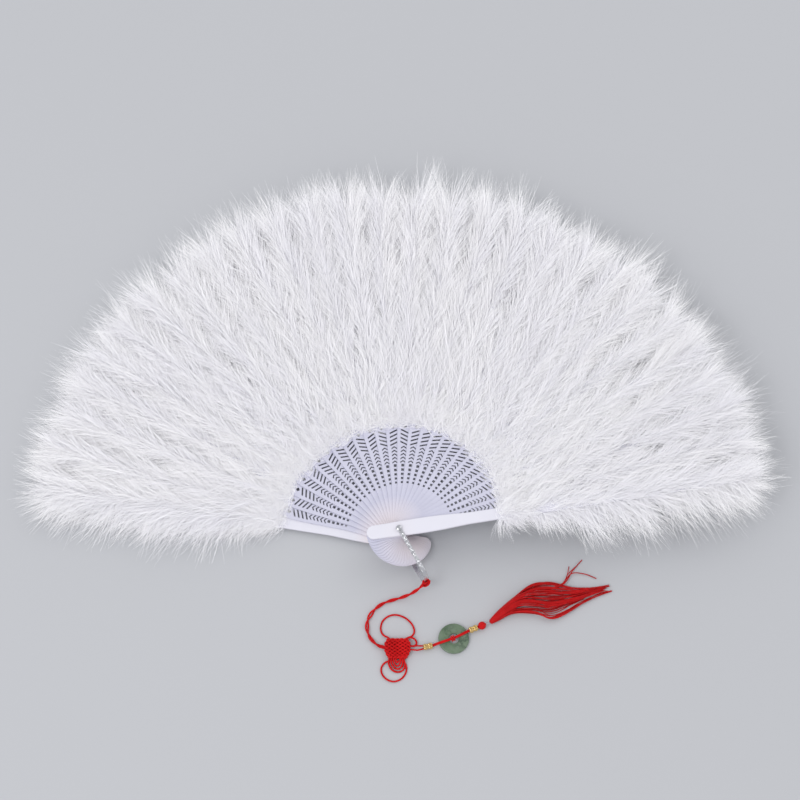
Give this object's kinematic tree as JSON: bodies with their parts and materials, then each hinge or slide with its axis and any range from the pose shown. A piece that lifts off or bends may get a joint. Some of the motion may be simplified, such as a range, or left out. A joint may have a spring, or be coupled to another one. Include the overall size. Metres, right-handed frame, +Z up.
{
  "type": "folding feather fan",
  "caption": "Folding hand fan of pierced plastic sticks dressed with white down, with a metal bail, a knotted red cord, beads, a stone disc and a tassel.",
  "frame": {"origin": "on the rivet's axis, at the flat bottom of the rivet's head, in the plane of the table that the open fan lies on", "axes": "+X to the right of the open fan seen from the front, +Y away from the handle along the fan's middle, +Z up from the table, along the rivet"},
  "size_m": [0.4944, 0.3543, 0.0392],
  "materials": {
    "stick_plastic": "satin, slightly translucent",
    "guard_plastic": "satin",
    "white_down": "loose down barbs",
    "silver_metal": "bright, embossed",
    "red_cord": "twisted satin cord",
    "tassel_thread": "silky thread",
    "gold_metal": "polished",
    "red_bead": "polished",
    "green_stone": "polished, veined"
  },
  "bodies": {
    "base": {"back_guard": "guard_plastic", "rivet_pin": "silver_metal", "rivet_cap": "silver_metal"},
    "stick_01": {"stick_01": "stick_plastic", "plume_01": "white_down"},
    "stick_02": {"stick_02": "stick_plastic"},
    "stick_03": {"stick_03": "stick_plastic", "plume_02": "white_down"},
    "stick_04": {"stick_04": "stick_plastic"},
    "stick_05": {"stick_05": "stick_plastic", "plume_03": "white_down"},
    "stick_06": {"stick_06": "stick_plastic"},
    "stick_07": {"stick_07": "stick_plastic", "plume_04": "white_down"},
    "stick_08": {"stick_08": "stick_plastic"},
    "stick_09": {"stick_09": "stick_plastic", "plume_05": "white_down"},
    "stick_10": {"stick_10": "stick_plastic"},
    "stick_11": {"stick_11": "stick_plastic", "plume_06": "white_down"},
    "stick_12": {"stick_12": "stick_plastic"},
    "stick_13": {"stick_13": "stick_plastic", "plume_07": "white_down"},
    "stick_14": {"stick_14": "stick_plastic"},
    "stick_15": {"stick_15": "stick_plastic", "plume_08": "white_down"},
    "stick_16": {"stick_16": "stick_plastic"},
    "stick_17": {"stick_17": "stick_plastic", "plume_09": "white_down"},
    "stick_18": {"stick_18": "stick_plastic"},
    "stick_19": {"stick_19": "stick_plastic", "plume_10": "white_down"},
    "stick_20": {"stick_20": "stick_plastic"},
    "stick_21": {"stick_21": "stick_plastic", "plume_11": "white_down"},
    "stick_22": {"stick_22": "stick_plastic"},
    "stick_23": {"stick_23": "stick_plastic", "plume_12": "white_down"},
    "stick_24": {"stick_24": "stick_plastic"},
    "stick_25": {"stick_25": "stick_plastic", "plume_13": "white_down"},
    "stick_26": {"stick_26": "stick_plastic"},
    "front_guard": {"front_guard": "guard_plastic", "plume_14": "white_down"},
    "bail": {"bail": "silver_metal", "cord_wrap": "red_cord", "lead_cord": "red_cord", "knot": "red_cord", "knot_loop_upper": "red_cord", "knot_loop_lower": "red_cord", "tail_cord": "red_cord", "gold_bead_1": "gold_metal", "jade_disc": "green_stone", "gold_bead_2": "gold_metal", "red_bead": "red_bead", "tassel_pin": "silver_metal", "tassel_head": "tassel_thread", "tassel_skirt": "tassel_thread"}
  },
  "joints": [
    {"name": "stick_01_turn", "type": "hinge", "parent": "base", "child": "stick_01", "pos_m": [0, 0, 0], "axis": [0, 0, 1], "range_deg": [0, 6], "deforming": ["plume_01"]},
    {"name": "stick_02_turn", "type": "hinge", "parent": "base", "child": "stick_02", "pos_m": [0, 0, 0], "axis": [0, 0, 1], "range_deg": [0, 12]},
    {"name": "stick_03_turn", "type": "hinge", "parent": "base", "child": "stick_03", "pos_m": [0, 0, 0], "axis": [0, 0, 1], "range_deg": [0, 18], "deforming": ["plume_02"]},
    {"name": "stick_04_turn", "type": "hinge", "parent": "base", "child": "stick_04", "pos_m": [0, 0, 0], "axis": [0, 0, 1], "range_deg": [0, 24]},
    {"name": "stick_05_turn", "type": "hinge", "parent": "base", "child": "stick_05", "pos_m": [0, 0, 0], "axis": [0, 0, 1], "range_deg": [0, 30], "deforming": ["plume_03"]},
    {"name": "stick_06_turn", "type": "hinge", "parent": "base", "child": "stick_06", "pos_m": [0, 0, 0], "axis": [0, 0, 1], "range_deg": [0, 36]},
    {"name": "stick_07_turn", "type": "hinge", "parent": "base", "child": "stick_07", "pos_m": [0, 0, 0], "axis": [0, 0, 1], "range_deg": [0, 42], "deforming": ["plume_04"]},
    {"name": "stick_08_turn", "type": "hinge", "parent": "base", "child": "stick_08", "pos_m": [0, 0, 0], "axis": [0, 0, 1], "range_deg": [0, 48]},
    {"name": "stick_09_turn", "type": "hinge", "parent": "base", "child": "stick_09", "pos_m": [0, 0, 0], "axis": [0, 0, 1], "range_deg": [0, 54], "deforming": ["plume_05"]},
    {"name": "stick_10_turn", "type": "hinge", "parent": "base", "child": "stick_10", "pos_m": [0, 0, 0], "axis": [0, 0, 1], "range_deg": [0, 60]},
    {"name": "stick_11_turn", "type": "hinge", "parent": "base", "child": "stick_11", "pos_m": [0, 0, 0], "axis": [0, 0, 1], "range_deg": [0, 66], "deforming": ["plume_06"]},
    {"name": "stick_12_turn", "type": "hinge", "parent": "base", "child": "stick_12", "pos_m": [0, 0, 0], "axis": [0, 0, 1], "range_deg": [0, 72]},
    {"name": "stick_13_turn", "type": "hinge", "parent": "base", "child": "stick_13", "pos_m": [0, 0, 0], "axis": [0, 0, 1], "range_deg": [0, 78], "deforming": ["plume_07"]},
    {"name": "stick_14_turn", "type": "hinge", "parent": "base", "child": "stick_14", "pos_m": [0, 0, 0], "axis": [0, 0, 1], "range_deg": [0, 84]},
    {"name": "stick_15_turn", "type": "hinge", "parent": "base", "child": "stick_15", "pos_m": [0, 0, 0], "axis": [0, 0, 1], "range_deg": [0, 90], "deforming": ["plume_08"]},
    {"name": "stick_16_turn", "type": "hinge", "parent": "base", "child": "stick_16", "pos_m": [0, 0, 0], "axis": [0, 0, 1], "range_deg": [0, 96]},
    {"name": "stick_17_turn", "type": "hinge", "parent": "base", "child": "stick_17", "pos_m": [0, 0, 0], "axis": [0, 0, 1], "range_deg": [0, 102], "deforming": ["plume_09"]},
    {"name": "stick_18_turn", "type": "hinge", "parent": "base", "child": "stick_18", "pos_m": [0, 0, 0], "axis": [0, 0, 1], "range_deg": [0, 108]},
    {"name": "stick_19_turn", "type": "hinge", "parent": "base", "child": "stick_19", "pos_m": [0, 0, 0], "axis": [0, 0, 1], "range_deg": [0, 114], "deforming": ["plume_10"]},
    {"name": "stick_20_turn", "type": "hinge", "parent": "base", "child": "stick_20", "pos_m": [0, 0, 0], "axis": [0, 0, 1], "range_deg": [0, 120]},
    {"name": "stick_21_turn", "type": "hinge", "parent": "base", "child": "stick_21", "pos_m": [0, 0, 0], "axis": [0, 0, 1], "range_deg": [0, 126], "deforming": ["plume_11"]},
    {"name": "stick_22_turn", "type": "hinge", "parent": "base", "child": "stick_22", "pos_m": [0, 0, 0], "axis": [0, 0, 1], "range_deg": [0, 132]},
    {"name": "stick_23_turn", "type": "hinge", "parent": "base", "child": "stick_23", "pos_m": [0, 0, 0], "axis": [0, 0, 1], "range_deg": [0, 138], "deforming": ["plume_12"]},
    {"name": "stick_24_turn", "type": "hinge", "parent": "base", "child": "stick_24", "pos_m": [0, 0, 0], "axis": [0, 0, 1], "range_deg": [0, 144]},
    {"name": "stick_25_turn", "type": "hinge", "parent": "base", "child": "stick_25", "pos_m": [0, 0, 0], "axis": [0, 0, 1], "range_deg": [0, 150], "deforming": ["plume_13"]},
    {"name": "stick_26_turn", "type": "hinge", "parent": "base", "child": "stick_26", "pos_m": [0, 0, 0], "axis": [0, 0, 1], "range_deg": [0, 156]},
    {"name": "fan_fold", "type": "hinge", "parent": "base", "child": "front_guard", "pos_m": [0, 0, 0], "axis": [0, 0, 1], "range_deg": [0, 162], "deforming": ["plume_14"]},
    {"name": "bail_swing", "type": "hinge", "parent": "base", "child": "bail", "pos_m": [0, 0, 0], "axis": [0, 0, 1], "range_deg": [-60, 5]}
  ],
  "couplings": [
    {"joint": "stick_01_turn", "follows": "fan_fold", "ratio": 0.037037},
    {"joint": "stick_02_turn", "follows": "fan_fold", "ratio": 0.074074},
    {"joint": "stick_03_turn", "follows": "fan_fold", "ratio": 0.11111},
    {"joint": "stick_04_turn", "follows": "fan_fold", "ratio": 0.14815},
    {"joint": "stick_05_turn", "follows": "fan_fold", "ratio": 0.18519},
    {"joint": "stick_06_turn", "follows": "fan_fold", "ratio": 0.22222},
    {"joint": "stick_07_turn", "follows": "fan_fold", "ratio": 0.25926},
    {"joint": "stick_08_turn", "follows": "fan_fold", "ratio": 0.2963},
    {"joint": "stick_09_turn", "follows": "fan_fold", "ratio": 0.33333},
    {"joint": "stick_10_turn", "follows": "fan_fold", "ratio": 0.37037},
    {"joint": "stick_11_turn", "follows": "fan_fold", "ratio": 0.40741},
    {"joint": "stick_12_turn", "follows": "fan_fold", "ratio": 0.44444},
    {"joint": "stick_13_turn", "follows": "fan_fold", "ratio": 0.48148},
    {"joint": "stick_14_turn", "follows": "fan_fold", "ratio": 0.51852},
    {"joint": "stick_15_turn", "follows": "fan_fold", "ratio": 0.55556},
    {"joint": "stick_16_turn", "follows": "fan_fold", "ratio": 0.59259},
    {"joint": "stick_17_turn", "follows": "fan_fold", "ratio": 0.62963},
    {"joint": "stick_18_turn", "follows": "fan_fold", "ratio": 0.66667},
    {"joint": "stick_19_turn", "follows": "fan_fold", "ratio": 0.7037},
    {"joint": "stick_20_turn", "follows": "fan_fold", "ratio": 0.74074},
    {"joint": "stick_21_turn", "follows": "fan_fold", "ratio": 0.77778},
    {"joint": "stick_22_turn", "follows": "fan_fold", "ratio": 0.81481},
    {"joint": "stick_23_turn", "follows": "fan_fold", "ratio": 0.85185},
    {"joint": "stick_24_turn", "follows": "fan_fold", "ratio": 0.88889},
    {"joint": "stick_25_turn", "follows": "fan_fold", "ratio": 0.92593},
    {"joint": "stick_26_turn", "follows": "fan_fold", "ratio": 0.96296}
  ]
}
